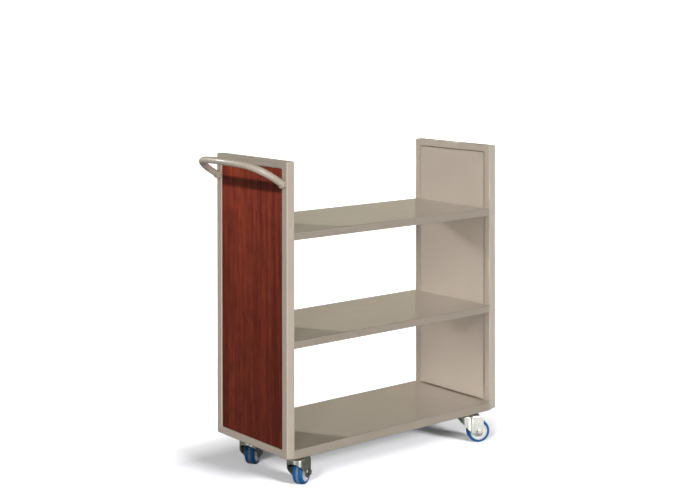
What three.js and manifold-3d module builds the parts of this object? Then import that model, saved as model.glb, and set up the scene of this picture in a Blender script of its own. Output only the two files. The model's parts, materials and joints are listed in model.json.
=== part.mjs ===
// A three-shelf service cart on four swivel castors: two framed ends with a wood veneer outside and a steel
// panel inside, three folded steel shelves, and a bent tube handle on the left end.
// Millimetres. +X runs along the cart towards the end without the handle, +Y to the back, +Z up.
// The origin is on the floor, at the middle of the whole object's footprint, handle included.

import * as THREE from "three";
import { mergeVertices } from "three/addons/utils/BufferGeometryUtils.js";
import Module from "manifold-3d";

const wasm = await Module();
wasm.setup();

// ---- driving dimensions -------------------------------------------------------------------------------------

const GAP = 0.3; // between pieces that touch

const BODY_LENGTH = 888; // over both end frames
const BODY_DEPTH = 374;
const CASTOR_HEIGHT = 110; // floor to the underside of the body
const END_HEIGHT = 900;
const END_THICKNESS = 30;
const SIDE_BAR = 27; // width of the frame's upright bars
const TOP_BAR = 24;
const BOTTOM_BAR = 28;
const TUBE_WALL = 1.5;
const BOTTOM_BEVEL = 5; // rise of the frame's underside towards its outer face
const VENT_RADIUS = 4;
const WINDOW_RADIUS = 3;

const PANEL_GROOVE = 1.6; // groove round the inner steel panel
const PANEL_BOTTOM_GROOVE = 3.5;
const PANEL_SHEET = 1.2;
const PANEL_RETURN = 10; // depth of the panel's folded edges
const VENEER_GAP = 0.8;
const VENEER_RECESS = 2;
const VENEER_THICKNESS = 12;

const SHELF_SHEET = 1.5;
const SHELF_TOPS = { top: 684.7, middle: 356.5, bottom: 28 }; // above the underside of the body
const LIP_HEIGHT = 25;
const BOTTOM_LIP_HEIGHT = 28;
const LIP_LEAN = 4.5; // how far the upper shelves' lips lean in at their lower edge
const LIP_RETURN = 15; // width of the flange folded in at the foot of a lip

const HANDLE_RADIUS = 11;
const HANDLE_WALL = 1.5;
const HANDLE_HALF_WIDTH = 172; // centre of the tube, where it meets the frame
const HANDLE_REACH = 121; // along the slope of the bow
const HANDLE_SLOPE = THREE.MathUtils.degToRad(32.5);
const HANDLE_HEIGHT = 828.5; // of the tube's ends, above the underside of the body
const HANDLE_BEND = 76; // radius of the corner bends
const HANDLE_CROWN = 880; // radius of the nearly straight grip

const CASTOR_END_INSET = 81; // swivel axis to the end of the body
const CASTOR_SIDE_INSET = 61; // swivel axis to the front or back of the body
const CASTOR_TRAIL = 40; // swivel axis to axle
const WHEEL_RADIUS = 38;
const WHEEL_FACETS = 24;
const TREAD_HALF_WIDTH = 16.5;
const HUB_RADIUS = 29;

const PLATE_LENGTH = 92;
const PLATE_WIDTH = 64;
const PLATE_THICKNESS = 3;
const PLATE_CORNER = 6;
const RACE_RADIUS = 29;
const RACE_DEPTH = 7.2;
const KINGPIN_RADIUS = 5;
const KINGPIN_HEAD_RADIUS = 9;
const KINGPIN_HEAD_HEIGHT = 4;

const FORK_TOP = 98.7; // above the floor
const FORK_SHEET = 2.5;
const HOOD_RADIUS = 29.5; // of the round nose about the swivel axis
const FORK_HALF_WIDTH = 25; // over the legs, which are set in a little from the nose
const FORK_SHOULDER = 12; // radius where the crown turns down into the nose and the legs
const FORK_FRONT_EDGE = 49.5; // height at which the legs' sloping front edge passes the swivel axis
const FORK_LEG_END = 15; // radius of the leg round the axle
const FORK_REAR_DROP = 23; // the hood slopes down this far at its rear
const FORK_REAR_SLOPE = 17; // length of that slope along the trail
const CUP_RADIUS = 19;
const CUP_DEPTH = 3.6;

const AXLE_RADIUS = 5;
const AXLE_HEAD_RADIUS = 9.4;
const AXLE_HEAD_HEIGHT = 5.6;
const AXLE_NUT_HEIGHT = 7;
const AXLE_END = 34; // far end of the axle bolt, from the castor's middle
const BUSH_RADIUS = 7.9;
const HUB_HALF_LENGTH = 21.6;

const PLATE_BOLT_RADIUS = 4;
const PLATE_BOLT_HEAD_RADIUS = 7.5;
const PLATE_BOLT_HEAD_HEIGHT = 5;
const PLATE_BOLT_X = 36; // bolt hole to the swivel axis, along the plate
const PLATE_BOLT_Y = 22;
const HOLE_CLEARANCE = 0.4; // radial, round every bolt and pin

const RAIL_WIDTH = 96;
const RAIL_SHEET = 3;
const WELD_NUT_RADIUS = 8;
const WELD_NUT_HEIGHT = 6;

// Each castor stands at its own swivel angle, measured from +X towards +Y to the side its wheel trails to.
const CASTORS = [
  { name: "front_left", endSide: -1, depthSide: -1, trailAngle: 28.5 },
  { name: "front_right", endSide: 1, depthSide: -1, trailAngle: -30.5 },
  { name: "rear_left", endSide: -1, depthSide: 1, trailAngle: 34.5 },
  { name: "rear_right", endSide: 1, depthSide: 1, trailAngle: 5 },
];

// ---- materials ----------------------------------------------------------------------------------------------

function finish(color, roughness, metalness) {
  return new THREE.MeshStandardMaterial({ color, roughness, metalness });
}

const paint = finish(0xb8a997, 0.4, 0);
const veneer = finish(0x6b2c1c, 0.45, 0);
const zinc = finish(0xc3c5c0, 0.3, 1);
const hubWhite = finish(0xe9ebea, 0.4, 0);
const tyreBlue = finish(0x0a5fa0, 0.45, 0);
const bushNylon = finish(0xd8d6cc, 0.5, 0);

// ---- solids -------------------------------------------------------------------------------------------------

// A closed three.js geometry as a solid that can be joined and cut.
function solid(geometry) {
  const bare = new THREE.BufferGeometry();
  bare.setAttribute("position", geometry.getAttribute("position"));
  bare.setIndex(geometry.getIndex());
  const merged = mergeVertices(bare, 1e-4);
  return new wasm.Manifold(
    new wasm.Mesh({
      numProp: 3,
      vertProperties: new Float32Array(merged.getAttribute("position").array),
      triVerts: new Uint32Array(merged.getIndex().array),
    }),
  );
}

function geometryOf(shape) {
  const mesh = shape.getMesh();
  const geometry = new THREE.BufferGeometry();
  geometry.setAttribute("position", new THREE.BufferAttribute(mesh.vertProperties, 3));
  geometry.setIndex(new THREE.BufferAttribute(mesh.triVerts, 1));
  geometry.computeVertexNormals();
  return geometry;
}

function meshOf(name, shape, material) {
  const mesh = new THREE.Mesh(geometryOf(shape), material);
  mesh.name = name;
  return mesh;
}

function box(x0, x1, y0, y1, z0, z1) {
  const geometry = new THREE.BoxGeometry(x1 - x0, y1 - y0, z1 - z0);
  geometry.translate((x0 + x1) / 2, (y0 + y1) / 2, (z0 + z1) / 2);
  return solid(geometry);
}

function outline(points) {
  return new THREE.Shape(points.map(([a, b]) => new THREE.Vector2(a, b)));
}

function roundedRectangle(a0, a1, b0, b1, radius) {
  const shape = new THREE.Shape();
  const quarter = Math.PI / 2;
  shape.absarc(a1 - radius, b0 + radius, radius, -quarter, 0);
  shape.absarc(a1 - radius, b1 - radius, radius, 0, quarter);
  shape.absarc(a0 + radius, b1 - radius, radius, quarter, 2 * quarter);
  shape.absarc(a0 + radius, b0 + radius, radius, 2 * quarter, 3 * quarter);
  return shape;
}

// A shape drawn in Y and Z, extruded from x0 to x1.
function prismAlongX(shape, x0, x1, curveSegments = 1) {
  const geometry = new THREE.ExtrudeGeometry(shape, { depth: x1 - x0, bevelEnabled: false, curveSegments });
  const turn = new THREE.Matrix4().makeBasis(
    new THREE.Vector3(0, 1, 0),
    new THREE.Vector3(0, 0, 1),
    new THREE.Vector3(1, 0, 0),
  );
  geometry.applyMatrix4(turn);
  geometry.translate(x0, 0, 0);
  return solid(geometry);
}

// A shape drawn in X and Z, extruded from y0 to y1.
function prismAlongY(shape, y0, y1, curveSegments = 12) {
  const geometry = new THREE.ExtrudeGeometry(shape, { depth: y1 - y0, bevelEnabled: false, curveSegments });
  geometry.rotateX(Math.PI / 2);
  geometry.translate(0, y1, 0);
  return solid(geometry);
}

// A profile of [radius, height] points turned about Z. It starts and ends on the axis, or on its own first point.
function turned(profile, segments = 20) {
  const points = profile.map(([radius, height]) => new THREE.Vector2(radius, height));
  const geometry = new THREE.LatheGeometry(points, segments);
  geometry.rotateX(Math.PI / 2);
  return solid(geometry);
}

function rod(radius, z0, z1, segments = 8) {
  return turned([[0, z0], [radius, z0], [radius, z1], [0, z1]], segments);
}

function tubeRing(innerRadius, outerRadius, z0, z1, segments = 20) {
  return turned(
    [[innerRadius, z0], [outerRadius, z0], [outerRadius, z1], [innerRadius, z1], [innerRadius, z0]],
    segments,
  );
}

// ---- end frames and their panels ----------------------------------------------------------------------------
// An end is drawn with its outer face at x = 0 and its inner face at x = END_THICKNESS, on the body's underside.

const halfDepth = BODY_DEPTH / 2;
const windowHalf = halfDepth - SIDE_BAR;
const windowTop = END_HEIGHT - TOP_BAR;

function endFrame() {
  const section = (inset) =>
    outline([
      [inset, BOTTOM_BEVEL + inset],
      [END_THICKNESS - inset, inset],
      [END_THICKNESS - inset, END_HEIGHT - inset],
      [inset, END_HEIGHT - inset],
    ]);
  const window = (margin) =>
    roundedRectangle(
      -windowHalf - margin,
      windowHalf + margin,
      BOTTOM_BAR - margin,
      windowTop + margin,
      WINDOW_RADIUS + margin,
    );
  const opening = prismAlongX(window(0), -1, END_THICKNESS + 1);
  const bore = prismAlongY(section(TUBE_WALL), -halfDepth + TUBE_WALL, halfDepth - TUBE_WALL).subtract(
    prismAlongX(window(TUBE_WALL), -1, END_THICKNESS + 1),
  );
  let frame = prismAlongY(section(0), -halfDepth, halfDepth).subtract(opening).subtract(bore);
  for (const side of [-1, 1]) {
    const vent = rod(VENT_RADIUS, -1, BOTTOM_BAR / 2, 10).translate([END_THICKNESS / 2, side * windowHalf, 0]);
    frame = frame.subtract(vent);
  }
  return frame;
}

function innerPanel() {
  const half = windowHalf - PANEL_GROOVE;
  const bottom = BOTTOM_BAR + PANEL_BOTTOM_GROOVE;
  const top = windowTop - PANEL_GROOVE;
  const back = END_THICKNESS - PANEL_RETURN;
  const outside = box(back, END_THICKNESS, -half, half, bottom, top);
  const hollow = box(
    back - 1,
    END_THICKNESS - PANEL_SHEET,
    -half + PANEL_SHEET,
    half - PANEL_SHEET,
    bottom + PANEL_SHEET,
    top - PANEL_SHEET,
  );
  return outside.subtract(hollow);
}

function veneerPanel() {
  const board = roundedRectangle(
    -windowHalf + VENEER_GAP,
    windowHalf - VENEER_GAP,
    BOTTOM_BAR + VENEER_GAP,
    windowTop - VENEER_GAP,
    WINDOW_RADIUS,
  );
  return prismAlongX(board, VENEER_RECESS, VENEER_RECESS + VENEER_THICKNESS);
}

function makeEnd(name, turn) {
  const end = new THREE.Group();
  end.add(meshOf(`${name}_end_frame`, endFrame(), paint));
  end.add(meshOf(`${name}_inner_panel`, innerPanel(), paint));
  end.add(meshOf(`${name}_veneer_panel`, veneerPanel(), veneer));
  end.rotation.z = turn;
  end.position.x = turn === 0 ? -BODY_LENGTH / 2 : BODY_LENGTH / 2;
  return end;
}

// ---- shelves ------------------------------------------------------------------------------------------------
// A shelf is drawn with its top face at z = 0.

const shelfHalfLength = BODY_LENGTH / 2 - END_THICKNESS - GAP;

function shelfPan(lipHeight, lean) {
  const foot = halfDepth - lean;
  const outer = outline([
    [-foot, -lipHeight],
    [foot, -lipHeight],
    [halfDepth, 0],
    [-halfDepth, 0],
  ]);
  // The hollow keeps the sheet's thickness inside the lips and the returns.
  const ledge = -lipHeight + SHELF_SHEET;
  const hollow = outline([
    [-foot + SHELF_SHEET, ledge],
    [foot - SHELF_SHEET, ledge],
    [halfDepth - SHELF_SHEET, -SHELF_SHEET],
    [-halfDepth + SHELF_SHEET, -SHELF_SHEET],
  ]);
  const inside = shelfHalfLength - SHELF_SHEET;
  const mouth = box(-inside, inside, -foot + LIP_RETURN, foot - LIP_RETURN, -lipHeight - 1, ledge + 1);
  return prismAlongX(outer, -shelfHalfLength, shelfHalfLength)
    .subtract(prismAlongX(hollow, -inside, inside))
    .subtract(mouth);
}

function makeShelf(name, lipHeight, lean) {
  const shelf = meshOf(`${name}_shelf`, shelfPan(lipHeight, lean), paint);
  shelf.position.z = SHELF_TOPS[name];
  return shelf;
}

// ---- handle -------------------------------------------------------------------------------------------------
// The bow is drawn flat, across the cart and outwards, then tilted up to its slope.

function handleCurve() {
  const across = HANDLE_HALF_WIDTH - HANDLE_BEND;
  const crownCentre = HANDLE_REACH - HANDLE_CROWN;
  const bendCentre = crownCentre + Math.sqrt((HANDLE_CROWN - HANDLE_BEND) ** 2 - across ** 2);
  const bendAngle = Math.atan2(bendCentre - crownCentre, across);
  const overlap = 20; // the legs run into the frame here and are trimmed flush later
  const bow = new THREE.Path();
  bow.moveTo(-HANDLE_HALF_WIDTH, -overlap);
  bow.lineTo(-HANDLE_HALF_WIDTH, bendCentre);
  bow.absarc(-across, bendCentre, HANDLE_BEND, Math.PI, Math.PI - bendAngle, true);
  bow.absarc(0, crownCentre, HANDLE_CROWN, Math.PI - bendAngle, bendAngle, true);
  bow.absarc(across, bendCentre, HANDLE_BEND, bendAngle, 0, true);
  bow.lineTo(HANDLE_HALF_WIDTH, -overlap);
  const points = bow.getSpacedPoints(40).map(
    (p) => new THREE.Vector3(-p.y * Math.cos(HANDLE_SLOPE), p.x, p.y * Math.sin(HANDLE_SLOPE)),
  );
  return new THREE.CatmullRomCurve3(points);
}

// An arc in a shape gets two points for each curve segment.
function bentRod(curve, radius, sides) {
  const circle = new THREE.Shape();
  circle.absarc(0, 0, radius, 0, 2 * Math.PI);
  return solid(
    new THREE.ExtrudeGeometry(circle, { steps: 32, curveSegments: sides / 2, extrudePath: curve }),
  );
}

function makeHandle() {
  const curve = handleCurve();
  const tube = bentRod(curve, HANDLE_RADIUS, 16).subtract(bentRod(curve, HANDLE_RADIUS - HANDLE_WALL, 8));
  const trim = box(-GAP, 40, -halfDepth, halfDepth, -60, 60);
  const handle = meshOf("push_handle", tube.subtract(trim), paint);
  handle.position.set(-BODY_LENGTH / 2, 0, HANDLE_HEIGHT);
  return handle;
}

// ---- castor rails -------------------------------------------------------------------------------------------

const swivelX = BODY_LENGTH / 2 - CASTOR_END_INSET;
const swivelY = halfDepth - CASTOR_SIDE_INSET;

const boltPlaces = [-1, 1].flatMap((sx) => [-1, 1].map((sy) => [sx * PLATE_BOLT_X, sy * PLATE_BOLT_Y]));

function castorRail() {
  const half = RAIL_WIDTH / 2;
  const height = BOTTOM_LIP_HEIGHT - SHELF_SHEET - GAP;
  const length = halfDepth - LIP_RETURN - GAP;
  const inner = half - RAIL_SHEET;
  let rail = box(-half, half, -length, length, 0, height).subtract(
    box(-inner, inner, -length - 1, length + 1, RAIL_SHEET, height + 1),
  );
  for (const side of [-1, 1]) {
    for (const [x, y] of boltPlaces) {
      const place = [x, side * swivelY + y, 0];
      rail = rail
        .add(rod(WELD_NUT_RADIUS, RAIL_SHEET / 2, RAIL_SHEET + WELD_NUT_HEIGHT, 6).translate(place))
        .subtract(rod(PLATE_BOLT_RADIUS + HOLE_CLEARANCE, -1, RAIL_SHEET + WELD_NUT_HEIGHT + 1).translate(place));
    }
  }
  return rail;
}

function makeRail(name, side) {
  const rail = meshOf(`${name}_castor_rail`, castorRail(), paint);
  rail.position.x = side * swivelX;
  return rail;
}

// ---- castors ------------------------------------------------------------------------------------------------
// A castor is drawn on the floor with its swivel axis on Z, its wheel trailing along +X and its axle along Y.

const plateTop = CASTOR_HEIGHT - GAP;
const plateBottom = plateTop - PLATE_THICKNESS;

function castorPlate() {
  const shape = roundedRectangle(
    -PLATE_LENGTH / 2,
    PLATE_LENGTH / 2,
    -PLATE_WIDTH / 2,
    PLATE_WIDTH / 2,
    PLATE_CORNER,
  );
  const sheet = new THREE.ExtrudeGeometry(shape, { depth: PLATE_THICKNESS, bevelEnabled: false, curveSegments: 1 });
  sheet.translate(0, 0, plateBottom);
  const raceBottom = plateBottom - RACE_DEPTH;
  const race = turned([
    [0, raceBottom],
    [RACE_RADIUS - 3, raceBottom],
    [RACE_RADIUS, raceBottom + 3],
    [RACE_RADIUS, plateBottom + 1],
    [0, plateBottom + 1],
  ], 20);
  // The pin's hole opens out at the top, for its countersunk head.
  const hole = KINGPIN_RADIUS + HOLE_CLEARANCE;
  const countersink = turned([
    [0, raceBottom - 1],
    [hole, raceBottom - 1],
    [hole, plateTop - 3],
    [hole + 4, plateTop + 1],
    [0, plateTop + 1],
  ], 12);
  let plate = solid(sheet).add(race).subtract(countersink);
  for (const [x, y] of boltPlaces) {
    plate = plate.subtract(
      rod(PLATE_BOLT_RADIUS + HOLE_CLEARANCE, plateBottom - 1, plateTop + 1).translate([x, y, 0]),
    );
  }
  return plate;
}

const cupBottom = FORK_TOP - FORK_SHEET - CUP_DEPTH;

function kingpin() {
  const headTop = cupBottom - GAP;
  return turned([
    [0, headTop - KINGPIN_HEAD_HEIGHT],
    [KINGPIN_HEAD_RADIUS - 2, headTop - KINGPIN_HEAD_HEIGHT],
    [KINGPIN_HEAD_RADIUS, headTop - KINGPIN_HEAD_HEIGHT / 2],
    [KINGPIN_HEAD_RADIUS, headTop],
    [KINGPIN_RADIUS, headTop],
    [KINGPIN_RADIUS, plateTop - 3],
    [KINGPIN_RADIUS + 2.6, plateTop - 0.4],
    [0, plateTop - 0.4],
  ], 12);
}

// The hood's plan is a round nose with flat legs behind it. inset gives the inside of the sheet.
function hood(inset, rear, top) {
  const radius = HOOD_RADIUS - inset;
  const half = FORK_HALF_WIDTH - inset;
  const shoulder = FORK_SHOULDER - inset;
  const crease = Math.asin(half / radius);
  const plan = new THREE.Shape();
  plan.moveTo(rear, -half);
  plan.lineTo(rear, half);
  plan.absarc(0, 0, radius, crease, 2 * Math.PI - crease);
  const geometry = new THREE.ExtrudeGeometry(plan, {
    depth: top - 2 * shoulder,
    bevelEnabled: true,
    bevelThickness: shoulder,
    bevelSize: shoulder,
    bevelOffset: -shoulder,
    bevelSegments: 3,
    curveSegments: 9,
  });
  geometry.translate(0, 0, shoulder);
  return solid(geometry);
}

// The fork seen from its side: flat over the swivel, sloping down at the rear, and tapering to the axle.
function forkSide() {
  const nose = -HOOD_RADIUS - 2;
  const rear = CASTOR_TRAIL + FORK_LEG_END;
  const bottom = FORK_FRONT_EDGE - WHEEL_RADIUS + FORK_LEG_END * Math.SQRT2;
  const quarter = Math.PI / 2;
  const shape = new THREE.Shape();
  shape.moveTo(nose, FORK_TOP + 1);
  shape.lineTo(nose, FORK_FRONT_EDGE - nose);
  shape.absarc(bottom, WHEEL_RADIUS, FORK_LEG_END, -1.5 * quarter, -quarter);
  shape.absarc(CASTOR_TRAIL, WHEEL_RADIUS, FORK_LEG_END, -quarter, 0);
  shape.lineTo(rear, FORK_TOP - FORK_REAR_DROP);
  shape.lineTo(rear - FORK_REAR_SLOPE, FORK_TOP);
  shape.lineTo(rear - FORK_REAR_SLOPE, FORK_TOP + 1);
  return prismAlongY(shape, -2 * HOOD_RADIUS, 2 * HOOD_RADIUS, 4);
}

// Between the legs, behind the round crown, the fork is open from above.
function rearOpening() {
  const half = FORK_HALF_WIDTH - FORK_SHOULDER + 1;
  const slot = box(0, 80, -half, half, FORK_TOP - 30, FORK_TOP + 5);
  return slot.subtract(rod(RACE_RADIUS - 2, FORK_TOP - 40, FORK_TOP + 10, 24));
}

function onAxle(shape) {
  return shape.rotate([-90, 0, 0]).translate([CASTOR_TRAIL, 0, WHEEL_RADIUS]);
}

function fork() {
  const pressed = hood(0, 75, FORK_TOP)
    .subtract(hood(FORK_SHEET, 110, FORK_TOP - FORK_SHEET))
    .intersect(forkSide())
    .subtract(rearOpening());
  const cup = turned([
    [0, cupBottom],
    [CUP_RADIUS - 3, cupBottom],
    [CUP_RADIUS, FORK_TOP - FORK_SHEET],
    [CUP_RADIUS, FORK_TOP - FORK_SHEET / 2],
    [0, FORK_TOP - FORK_SHEET / 2],
  ], 16);
  return pressed
    .add(cup)
    .subtract(rod(KINGPIN_RADIUS + HOLE_CLEARANCE, cupBottom - 1, FORK_TOP + 1, 12))
    .subtract(onAxle(rod(AXLE_RADIUS + HOLE_CLEARANCE, -2 * HOOD_RADIUS, 2 * HOOD_RADIUS, 12)));
}

function axleBolt() {
  const headInside = -FORK_HALF_WIDTH - GAP;
  const head = rod(AXLE_HEAD_RADIUS, headInside - AXLE_HEAD_HEIGHT, headInside, 6);
  return onAxle(head.add(rod(AXLE_RADIUS, headInside - 1, AXLE_END, 12)));
}

function axleNut() {
  const inside = FORK_HALF_WIDTH + GAP;
  const nut = rod(AXLE_HEAD_RADIUS, inside, inside + AXLE_NUT_HEIGHT, 6);
  return onAxle(nut.subtract(rod(AXLE_RADIUS + HOLE_CLEARANCE, 0, AXLE_END, 12)));
}

function axleBush() {
  const half = FORK_HALF_WIDTH - FORK_SHEET - GAP;
  return onAxle(tubeRing(AXLE_RADIUS + HOLE_CLEARANCE, BUSH_RADIUS, -half, half, 12));
}

// A profile given for one half of a wheel part, mirrored about the wheel's middle plane and closed.
function wheelRing(halfProfile, segments) {
  const mirrored = [...halfProfile].reverse().map(([radius, height]) => [radius, -height]);
  const loop = [...mirrored, ...halfProfile];
  return turned([...loop, loop[0]], segments);
}

function wheelHub() {
  return onAxle(
    wheelRing(
      [
        [HUB_RADIUS, 15],
        [HUB_RADIUS - 2.5, 15],
        [HUB_RADIUS - 4, 9],
        [12.5, 9.5],
        [11, HUB_HALF_LENGTH],
        [BUSH_RADIUS + HOLE_CLEARANCE, HUB_HALF_LENGTH],
      ],
      18,
    ),
  );
}

// The tyre's flats, not its corners, lie on the wheel's true radius, so the cart stands on flats.
function tyre() {
  const corner = 1 / Math.cos(Math.PI / WHEEL_FACETS);
  const ring = wheelRing(
    [
      [WHEEL_RADIUS * corner, TREAD_HALF_WIDTH - 5],
      [(WHEEL_RADIUS - 1) * corner, TREAD_HALF_WIDTH - 1.5],
      [(WHEEL_RADIUS - 3.5) * corner, TREAD_HALF_WIDTH],
      [HUB_RADIUS + GAP, TREAD_HALF_WIDTH - 0.5],
    ],
    WHEEL_FACETS,
  );
  return onAxle(ring.rotate([0, 0, 180 / WHEEL_FACETS]));
}

function plateBolt() {
  const headTop = plateBottom - GAP;
  const head = rod(PLATE_BOLT_HEAD_RADIUS, headTop - PLATE_BOLT_HEAD_HEIGHT, headTop, 6);
  const end = CASTOR_HEIGHT + RAIL_SHEET + WELD_NUT_HEIGHT + 2;
  return head.add(rod(PLATE_BOLT_RADIUS, headTop - 1, end));
}

function makeCastor({ name, endSide, depthSide, trailAngle }) {
  const castor = new THREE.Group();
  castor.add(meshOf(`${name}_castor_plate`, castorPlate(), zinc));
  castor.add(meshOf(`${name}_kingpin`, kingpin(), zinc));
  boltPlaces.forEach(([x, y], i) => {
    const bolt = meshOf(`${name}_plate_bolt_${i + 1}`, plateBolt(), zinc);
    bolt.position.set(x, y, 0);
    castor.add(bolt);
  });

  const swivel = new THREE.Group();
  swivel.add(meshOf(`${name}_fork`, fork(), zinc));
  swivel.add(meshOf(`${name}_axle_bolt`, axleBolt(), zinc));
  swivel.add(meshOf(`${name}_axle_nut`, axleNut(), zinc));
  swivel.add(meshOf(`${name}_axle_bush`, axleBush(), bushNylon));
  swivel.add(meshOf(`${name}_wheel_hub`, wheelHub(), hubWhite));
  swivel.add(meshOf(`${name}_tyre`, tyre(), tyreBlue));
  swivel.rotation.z = THREE.MathUtils.degToRad(trailAngle);
  castor.add(swivel);

  castor.position.set(endSide * swivelX, depthSide * swivelY, 0);
  return castor;
}

// ---- the cart -----------------------------------------------------------------------------------------------

const body = new THREE.Group();
body.add(makeEnd("left", 0));
body.add(makeEnd("right", Math.PI));
body.add(makeShelf("top", LIP_HEIGHT, LIP_LEAN));
body.add(makeShelf("middle", LIP_HEIGHT, LIP_LEAN));
body.add(makeShelf("bottom", BOTTOM_LIP_HEIGHT, 0));
body.add(makeHandle());
body.add(makeRail("left", -1));
body.add(makeRail("right", 1));
body.position.z = CASTOR_HEIGHT;

const cart = new THREE.Group();
cart.add(body);
for (const castor of CASTORS) cart.add(makeCastor(castor));

// The handle stands out at the left end only, so the body sits half that far to the right of the origin.
const handleOverhang = HANDLE_REACH * Math.cos(HANDLE_SLOPE) + HANDLE_RADIUS;
cart.position.x = handleOverhang / 2;

export default cart;
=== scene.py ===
import json
import math

import bmesh
import bpy
from mathutils import Matrix, Vector

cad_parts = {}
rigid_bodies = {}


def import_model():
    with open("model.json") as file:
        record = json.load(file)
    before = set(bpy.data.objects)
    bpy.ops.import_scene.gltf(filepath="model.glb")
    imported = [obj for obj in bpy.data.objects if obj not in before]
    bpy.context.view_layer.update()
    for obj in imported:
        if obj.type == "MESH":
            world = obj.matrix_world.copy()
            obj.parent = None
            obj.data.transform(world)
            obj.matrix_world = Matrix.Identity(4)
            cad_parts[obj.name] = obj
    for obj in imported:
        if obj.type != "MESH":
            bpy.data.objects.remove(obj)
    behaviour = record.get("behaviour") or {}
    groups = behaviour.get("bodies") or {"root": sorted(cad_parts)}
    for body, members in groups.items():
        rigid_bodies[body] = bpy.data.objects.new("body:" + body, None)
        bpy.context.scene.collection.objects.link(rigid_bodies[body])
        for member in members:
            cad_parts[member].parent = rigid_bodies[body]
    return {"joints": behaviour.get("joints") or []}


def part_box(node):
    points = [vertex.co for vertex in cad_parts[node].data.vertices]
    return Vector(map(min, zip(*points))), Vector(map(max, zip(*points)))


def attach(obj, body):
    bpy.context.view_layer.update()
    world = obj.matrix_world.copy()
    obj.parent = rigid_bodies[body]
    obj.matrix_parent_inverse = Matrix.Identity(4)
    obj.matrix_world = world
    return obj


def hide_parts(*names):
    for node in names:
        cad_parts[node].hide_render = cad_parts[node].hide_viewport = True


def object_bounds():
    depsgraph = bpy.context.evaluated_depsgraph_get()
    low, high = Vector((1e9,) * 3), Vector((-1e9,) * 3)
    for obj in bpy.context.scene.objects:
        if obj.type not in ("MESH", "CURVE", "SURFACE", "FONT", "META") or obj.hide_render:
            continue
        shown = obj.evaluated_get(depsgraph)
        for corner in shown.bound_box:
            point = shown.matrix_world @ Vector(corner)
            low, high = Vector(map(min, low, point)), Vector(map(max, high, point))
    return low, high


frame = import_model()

CAD_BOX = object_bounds()
MM = 0.001
ROOT = "cart_frame"
SMALLEST_CORNER = 0.4 * MM
AXIS_RADIUS = 0.01 * MM  # stands for the axis itself where a turned profile closes on it
WELD_DISTANCE = 0.01 * MM  # vertices nearer than this become one

# ---- sizes of details that the CAD boxes don't hold, in metres ---------------------------------

FRAME_EDGE = 4.0 * MM  # rounding along the edges of the end frames' tube
FRAME_CORNER = 4.6 * MM
SIDE_BAR = 27 * MM
TOP_BAR = 24 * MM
BOTTOM_BAR = 28 * MM
WINDOW_CORNER = 3 * MM
UNDERSIDE_RISE = 5 * MM

PANEL_BEND = 2.2 * MM
PANEL_SHEET = 1.2 * MM
PANEL_CORNER = 3 * MM
VENEER_EASE = 2.6 * MM

SHELF_SHEET = 1.5 * MM
SHELF_BEND = 2.2 * MM
LIP_RETURN = 15 * MM
LIP_LEAN = 4.5 * MM
LIP_EDGE = 0.35 * MM

# The weld between a shelf's lip and the post beside it, ground flush.
LIP_WELD_END = 0.9 * MM  # the lip left bare above and below the weld
LIP_WELD_PROUD = 0.02 * MM
LIP_WELD_DEPTH = 3.8 * MM
LIP_WELD_LEAN = 0.04  # the share of the lip's lean that the weld's foot still has
LIP_WELD_ON_SHELF = 1.2 * MM
LIP_WELD_ON_POST = FRAME_EDGE + 0.2 * MM
END_PLATE_GAP = 0.05 * MM

HANDLE_RADIUS = 11 * MM
HANDLE_HALF_WIDTH = 172 * MM
HANDLE_REACH = 121 * MM
HANDLE_SLOPE = math.radians(32.5)
HANDLE_BEND = 76 * MM
HANDLE_CROWN = 880 * MM
HANDLE_WELD = 3.4 * MM  # how far the collar at each foot stands out from the tube
HANDLE_COLLAR = 4.5 * MM  # how far it stands out from the frame, on average round the tube
HANDLE_SIDES = 40
# Two directions of the bow: away from the frame in the bow's plane, and square to that plane.
HANDLE_OUT = Vector((-math.cos(HANDLE_SLOPE), 0, math.sin(HANDLE_SLOPE)))
HANDLE_UP = Vector((math.sin(HANDLE_SLOPE), 0, math.cos(HANDLE_SLOPE)))

RAIL_SHEET = 3 * MM
RAIL_BEND = 4 * MM
RAIL_EDGE = 0.5 * MM
WELD_NUT_RADIUS = 8 * MM
WELD_NUT_LOW = 2 * MM
WELD_NUT_TOP = 9 * MM
WELD_NUT_CHAMFER = 0.8 * MM

ENDS = ("left", "right")
CASTORS = ("front_left", "front_right", "rear_left", "rear_right")


# ---- mesh building -----------------------------------------------------------------------------


def loft(bm, loops, ring=False, cap_start=False, cap_end=False, open_loop=False):
    """Faces between loops of points that all have the same count. ring joins the last loop to the first."""
    rows = [[bm.verts.new(p) for p in loop] for loop in loops]
    count = len(rows[0])
    following = rows[1:] + ([rows[0]] if ring else [])
    for a, b in zip(rows, following):
        for i in range(count - 1 if open_loop else count):
            j = (i + 1) % count
            bm.faces.new((a[i], a[j], b[j], b[i]))
    if cap_start:
        bm.faces.new(rows[0][::-1])
    if cap_end:
        bm.faces.new(rows[-1])


def rounded_rectangle(a0, a1, b0, b1, radius, steps=5):
    """Points round a rounded rectangle, the same count for any size."""
    radius = max(radius, SMALLEST_CORNER)
    corners = (
        (a1 - radius, b0 + radius, -90),
        (a1 - radius, b1 - radius, 0),
        (a0 + radius, b1 - radius, 90),
        (a0 + radius, b0 + radius, 180),
    )
    points = []
    for ca, cb, start in corners:
        for k in range(steps + 1):
            angle = math.radians(start + 90 * k / steps)
            points.append((ca + radius * math.cos(angle), cb + radius * math.sin(angle)))
    return points


def lathe(bm, profile, place, segments, ring=False):
    """A profile of (radius, height) turned about the local Z axis of the matrix place."""
    loops = []
    for k in range(segments):
        angle = 2 * math.pi * k / segments
        across, up = math.cos(angle), math.sin(angle)
        loops.append([place @ Vector((r * across, r * up, h)) for r, h in profile])
    loft(bm, loops, ring=True, open_loop=not ring)


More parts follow.
